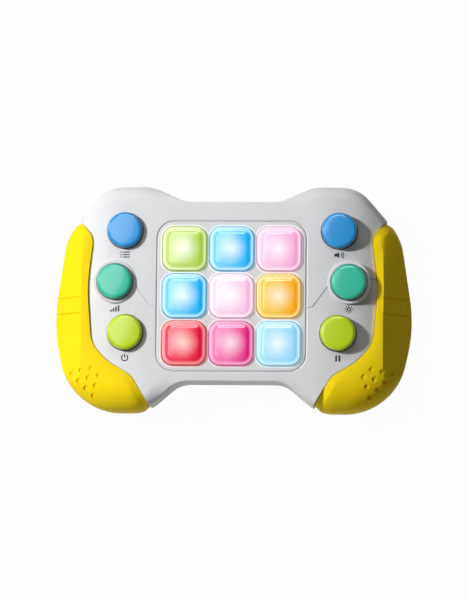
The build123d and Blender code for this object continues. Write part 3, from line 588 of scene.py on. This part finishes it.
def pillow_height(across, along):
    """Height over the rim of a point of a key's top, from its distances to the middle."""
    patch = KEY_SIDE / 2 - KEY_CORNER
    beyond = math.hypot(max(abs(across) - patch, 0.0), max(abs(along) - patch, 0.0))
    depth = max(KEY_CORNER - beyond, 0.0)
    if depth < KEY_EDGE:
        return math.sqrt(max(KEY_EDGE**2 - (KEY_EDGE - depth) ** 2, 0.0)) - KEY_EDGE
    climb = min(max((depth - KEY_RIM) / PILLOW_SLOPE, 0.0), 1.0)
    half = KEY_SIDE / 2 - KEY_RIM
    bulge = max(1 - (across / half) ** 2, 0.0) * max(1 - (along / half) ** 2, 0.0)
    return PILLOW_STEP * climb * climb * (3 - 2 * climb) + PILLOW_CROWN * bulge


def key_cap(node, material):
    """A square key with a raised pillow, its flange and the ring that presses the dome."""
    low, high = (Vector(corner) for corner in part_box(node))
    centre = (low + high) / 2
    flange_low = low.z + PLUNGER_DROP
    shoulder = high.z - PILLOW_STEP - PILLOW_CROWN
    bm = bmesh.new()
    top = round_block(bm, centre, (KEY_SIDE, KEY_SIDE), KEY_CORNER, flange_low, shoulder)
    straight = [edge for edge in top.edges if edge.calc_length() > KEY_SIDE / 4]
    bmesh.ops.subdivide_edges(bm, edges=straight, cuts=PATCH_CELLS - 1)
    top = max((face for face in bm.faces if face.normal.z > LEVEL), key=lambda face: face.calc_area())
    stepped(bm, top, KEY_RINGS)
    bmesh.ops.delete(bm, geom=[top], context="FACES_ONLY")
    patch = KEY_SIDE / 2 - KEY_CORNER
    bmesh.ops.create_grid(
        bm, x_segments=PATCH_CELLS, y_segments=PATCH_CELLS, size=patch,
        matrix=Matrix.Translation((centre.x, centre.y, shoulder)),
    )
    bmesh.ops.remove_doubles(bm, verts=bm.verts[:], dist=PATCH_MERGE)
    for vert in bm.verts:
        if vert.co.z > shoulder - MERGE:
            vert.co.z += pillow_height(vert.co.x - centre.x, vert.co.y - centre.y)
    flange_top = flange_low + FLANGE_HEIGHT
    flange = (FLANGE_SIDE, FLANGE_SIDE)
    round_block(bm, centre, flange, FLANGE_CORNER, flange_low, flange_top, FLANGE_SEGMENTS)
    ring_top = flange_low + PLUNGER_DROP
    spun(bm, centre, (
        (RING_BORE, low.z), (RING_RADIUS, low.z), (RING_RADIUS, ring_top), (RING_BORE, ring_top),
        (RING_BORE, low.z),
    ), RING_STEPS)
    piece = finished(bm, f"{node}_cap", material, KEY_CREASE)
    stand_for(piece, node)


for key in KEYS:
    node = f"key_{key}"
    key_cap(node, lit_key(f"{node}_glow", node, KEY_TINTS[key]))


# Round buttons: the top falls by CROWN_DROP_SHARE of its crown at CROWN_PLACE_SHARE of the radius, and its
# edge is an arc from EDGE_START degrees down to the side
BUTTON_EDGE, BUTTON_WALL, BUTTON_POST = 1.9 * MM, 1.3 * MM, 2.4 * MM
BUTTON_FLANGE, BUTTON_FLANGE_HEIGHT = 9.7 * MM, 1.0 * MM
BUTTON_CROWN = 0.12 * MM
CROWN_PLACE_SHARE, CROWN_DROP_SHARE = 0.45, 0.2
POST_LIFT = 0.8 * MM
EDGE_START, EDGE_POINTS = 80, 8


def button_cap(node, material):
    """A round button with a nearly flat top, a generous rounded edge and a flange below."""
    low, high = (Vector(corner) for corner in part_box(node))
    centre = (low + high) / 2
    level = BUTTON_RADIUS - BUTTON_EDGE
    inside = BUTTON_RADIUS - BUTTON_WALL
    rim_height = high.z - BUTTON_CROWN
    ceiling = high.z - BUTTON_EDGE
    flange_top = low.z + BUTTON_FLANGE_HEIGHT
    post_low = low.z + POST_LIFT
    profile = [
        (0.0, high.z), (BUTTON_RADIUS * CROWN_PLACE_SHARE, high.z - BUTTON_CROWN * CROWN_DROP_SHARE),
        (level, rim_height),
    ]
    profile += arc_points(level, rim_height - BUTTON_EDGE, BUTTON_EDGE, EDGE_START, 0, EDGE_POINTS)
    profile += [
        (BUTTON_RADIUS, flange_top), (BUTTON_FLANGE, flange_top), (BUTTON_FLANGE, low.z),
        (inside, low.z), (inside, ceiling), (BUTTON_POST, ceiling), (BUTTON_POST, post_low), (0.0, post_low),
    ]
    bm = bmesh.new()
    spun(bm, centre, profile)
    piece = finished(bm, f"{node}_cap", material)
    stand_for(piece, node)


for side in CAD_SIDES:
    for row in ROWS:
        node = f"button_{side}_{row}"
        button_cap(node, turned_plastic(f"{node}_plastic", node, BUTTON_COLOURS[row]))


# Rubber domes, each a smooth copy with a mesh of its own
def rubber_dome(node):
    """A smooth copy of a dome, with a mesh of its own."""
    piece = smooth_copy(node, f"{node}_rubber", DOME_RUBBER)
    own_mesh(piece)


for key in KEYS:
    rubber_dome(f"key_dome_{key}")
for side in CAD_SIDES:
    for row in ROWS:
        rubber_dome(f"button_dome_{side}_{row}")

# The rest of the inside keeps its CAD mesh and gets its finish
for row in frame["record"]["subparts"]:
    finish = INNER_FINISH.get(row["material_slot"])
    if finish is not None:
        mesh = frame["nodes"][row["node"]].data
        mesh.materials.clear()
        mesh.materials.append(finish)


# Printed symbols below the round buttons, each with its middle SYMBOL_DROP below its button's
INK_LIFT, ABOVE_ALL = 0.05 * MM, 50 * MM
BAR_CELLS, HOOP_STEPS = (6, 2), 24
LINE, FINE_SHARE = 0.50 * MM, 0.85
SYMBOL_DROP = {"upper": 11.3 * MM, "middle": 12.5 * MM, "lower": 11.7 * MM}


def on_face(bm):
    """Drops a flat drawing onto the front shell."""
    for vert in bm.verts:
        hit = front_tree.ray_cast(Vector((vert.co.x, vert.co.y, ABOVE_ALL)), Vector((0, 0, -1)))[0]
        vert.co.z = hit.z + INK_LIFT


def bar(bm, centre, width, height, turn=0.0):
    """A flat printed bar."""
    made = bmesh.ops.create_grid(bm, x_segments=BAR_CELLS[0], y_segments=BAR_CELLS[1], size=0.5)
    spin = Matrix.Rotation(turn, 4, "Z")
    size = Matrix.Diagonal((width, height, 1.0, 1.0))
    place = Matrix.Translation((centre[0], centre[1], 0))
    bmesh.ops.transform(bm, matrix=place @ spin @ size, verts=made["verts"])


def hoop(bm, centre, radius, line, start=0.0, sweep=math.tau):
    """A flat printed ring or part of one."""
    middle = Vector((centre[0], centre[1], 0))
    toward = Vector((math.cos(start), math.sin(start), 0))
    inner = bm.verts.new(middle + toward * (radius - line / 2))
    outer = bm.verts.new(middle + toward * (radius + line / 2))
    edge = bm.edges.new((inner, outer))
    bmesh.ops.spin(
        bm, geom=[inner, outer, edge], cent=middle, axis=(0, 0, 1),
        angle=sweep, steps=HOOP_STEPS, use_merge=sweep == math.tau,
    )


def wedge(bm, centre, size, turn=0.0):
    """A flat printed triangle that points along its turn."""
    made = bmesh.ops.create_circle(bm, cap_ends=True, radius=size, segments=3)
    spin = Matrix.Rotation(turn - math.pi / 2, 4, "Z")
    place = Matrix.Translation((centre[0], centre[1], 0))
    bmesh.ops.transform(bm, matrix=place @ spin, verts=made["verts"])


def symbol_mode(bm, x, y):
    """Three rows of a list, each with a dot before it."""
    pitch, row, dot, row_x, dot_x = 1.15 * MM, 3.2 * MM, 0.6 * MM, 0.6 * MM, -1.9 * MM
    for step in (-1, 0, 1):
        bar(bm, (x + row_x, y + step * pitch), row, LINE)
        bar(bm, (x + dot_x, y + step * pitch), dot, LINE)


def symbol_levels(bm, x, y):
    """Four rising bars."""
    count, width, pitch, lowest, rise, foot = 4, 0.75 * MM, 1.2 * MM, 0.9 * MM, 0.7 * MM, -1.5 * MM
    for step in range(count):
        height = lowest + rise * step
        bar(bm, (x + (step - (count - 1) / 2) * pitch, y + foot + height / 2), width, height)


def symbol_power(bm, x, y):
    """An open ring with a bar in its gap."""
    radius, ring_y, bar_y, height = 1.45 * MM, -0.1 * MM, 0.9 * MM, 1.8 * MM
    start, sweep = math.radians(120), math.radians(300)
    hoop(bm, (x, y + ring_y), radius, LINE, start, sweep)
    bar(bm, (x, y + bar_y), LINE, height)


def symbol_volume(bm, x, y):
    """A loudspeaker with two arcs."""
    cone, cone_x, magnet, magnet_x = 1.5 * MM, -0.8 * MM, (0.9 * MM, 1.3 * MM), -1.85 * MM
    arc_x, first, pitch, opening = -0.1 * MM, 1.2 * MM, 0.95 * MM, math.radians(42)
    wedge(bm, (x + cone_x, y), cone, math.pi)
    bar(bm, (x + magnet_x, y), *magnet)
    for step in (0, 1):
        hoop(bm, (x + arc_x, y), first + pitch * step, LINE * FINE_SHARE, -opening, 2 * opening)


def symbol_light(bm, x, y):
    """A small sun."""
    radius, ray_reach, ray, rays = 0.75 * MM, 1.6 * MM, 0.7 * MM, 8
    hoop(bm, (x, y), radius, LINE)
    for step in range(rays):
        turn = step * math.tau / rays
        place = (x + ray_reach * math.cos(turn), y + ray_reach * math.sin(turn))
        bar(bm, place, ray, LINE * FINE_SHARE, turn)


def symbol_pause(bm, x, y):
    """Two upright bars."""
    reach, width, height = 0.75 * MM, 0.8 * MM, 2.9 * MM
    for side in (-1, 1):
        bar(bm, (x + side * reach, y), width, height)


SYMBOLS = {
    ("left", "upper"): symbol_mode, ("left", "middle"): symbol_levels, ("left", "lower"): symbol_power,
    ("right", "upper"): symbol_volume, ("right", "middle"): symbol_light, ("right", "lower"): symbol_pause,
}
for (side, row), draw in SYMBOLS.items():
    place = centre_of(f"button_{side}_{row}")
    drawing = bmesh.new()
    draw(drawing, place.x, place.y - SYMBOL_DROP[row])
    on_face(drawing)
    for face in drawing.faces:
        if face.normal.z < 0:
            face.normal_flip()
    symbol = finished(drawing, f"print_{side}_{row}", PRINT)
    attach(symbol, body_of("front_shell"))


# Floor, light and camera
FLOOR_GAP, FLOOR_REACH = 0.05 * MM, 3.0
FLOOR_TONE, FLOOR_ROUGHNESS = 0.50, 0.9
FLOOR_WHITE = 0.97
WORLD_GLOW = 0.08


def pale_floor():
    """A floor that is nearly pure white to the eye and in reflections, and matt grey to other light."""
    material, nodes, links, shader = blank_material("floor_white")
    shader.inputs["Base Color"].default_value = (FLOOR_TONE, FLOOR_TONE, FLOOR_TONE, 1)
    shader.inputs["Roughness"].default_value = FLOOR_ROUGHNESS
    plain = nodes.new("ShaderNodeEmission")
    plain.inputs["Color"].default_value = (1, 1, 1, 1)
    paths = nodes.new("ShaderNodeLightPath")
    seen = math_node(nodes, links, "ADD", paths.outputs["Is Camera Ray"], paths.outputs["Is Glossy Ray"])
    seen = math_node(nodes, links, "ADD", seen, paths.outputs["Is Transmission Ray"])
    amount = math_node(nodes, links, "MULTIPLY", seen, FLOOR_WHITE)
    amount.node.use_clamp = True
    mix = nodes.new("ShaderNodeMixShader")
    links.new(amount, mix.inputs["Fac"])
    links.new(shader.outputs["BSDF"], mix.inputs[1])
    links.new(plain.outputs["Emission"], mix.inputs[2])
    links.new(mix.outputs["Shader"], nodes["Material Output"].inputs["Surface"])
    return material


drawing = bmesh.new()
under = Matrix.Translation((0, 0, -FLOOR_GAP))
bmesh.ops.create_grid(drawing, x_segments=1, y_segments=1, size=FLOOR_REACH, matrix=under)
floor = finished(drawing, "floor", pale_floor())

world = bpy.data.worlds.new("studio")
bpy.context.scene.world = world
world.use_nodes = True
world.node_tree.nodes["Background"].inputs["Color"].default_value = (1, 1, 1, 1)
world.node_tree.nodes["Background"].inputs["Strength"].default_value = WORLD_GLOW

# Area lights: name, direction from the part, distance and size in metres, power in watts, and the kind of
# ray that doesn't see the light
SOFTBOXES = (
    ("key_light", (-0.65, 0.26, 0.71), 1.10, (0.10, 0.10), 11.0, "glossy"),
    ("left_haze", (-0.32, 0.15, 0.92), 0.95, (0.45, 0.45), 2.4, "diffuse"),
    ("back_gloss", (-0.05, 0.60, 0.80), 0.90, (0.46, 0.30), 3.6, "diffuse"),
    ("left_gloss", (-0.86, 0.24, 0.45), 0.90, (0.30, 0.30), 2.2, "diffuse"),
    ("back_fill", (-0.05, 0.75, 0.66), 0.90, (0.50, 0.09), 1.00, "glossy"),
    ("front_fill", (-0.45, -0.85, 0.45), 1.20, (0.60, 0.30), 2.1, None),
)
for name, toward, distance, size, power, unseen in SOFTBOXES:
    light = bpy.data.lights.new(name, "AREA")
    light.shape = "RECTANGLE"
    light.size, light.size_y = size
    light.energy = power
    lamp = bpy.data.objects.new(name, light)
    direction = Vector(toward).normalized()
    lamp.location = direction * distance
    lamp.rotation_euler = direction.to_track_quat("Z", "Y").to_euler()
    lamp.visible_diffuse = unseen != "diffuse"
    lamp.visible_glossy = unseen != "glossy"
    bpy.context.collection.objects.link(lamp)

# Camera: a long lens nearly straight above, from a little to the lower right. PIXEL is how much of the part
# one of the IMAGE_WIDTH pixels covers.
PIXEL = 0.4688 * MM
IMAGE_WIDTH = 468
CAMERA_RIGHT, CAMERA_UP = (1.0, 0.0095, -0.056), (-0.006, 1.0, 0.1005)
CAMERA_AIM = (0.51 * MM, 0.30 * MM, 15 * MM)
CAMERA_DISTANCE = 1.6
SENSOR_WIDTH = 36.0
to_right = Vector(CAMERA_RIGHT).normalized()
to_viewer = to_right.cross(Vector(CAMERA_UP)).normalized()
upward = to_viewer.cross(to_right).normalized()
camera_data = bpy.data.cameras.new("camera")
camera_data.sensor_fit = "HORIZONTAL"
camera_data.sensor_width = SENSOR_WIDTH
camera_data.lens = SENSOR_WIDTH * CAMERA_DISTANCE / (IMAGE_WIDTH * PIXEL)
camera = bpy.data.objects.new("camera", camera_data)
turn = Matrix((to_right, upward, to_viewer)).transposed().to_4x4()
camera.matrix_world = Matrix.Translation(Vector(CAMERA_AIM) + to_viewer * CAMERA_DISTANCE) @ turn
bpy.context.collection.objects.link(camera)
bpy.context.scene.camera = camera
bpy.context.scene.view_settings.view_transform = "Standard"
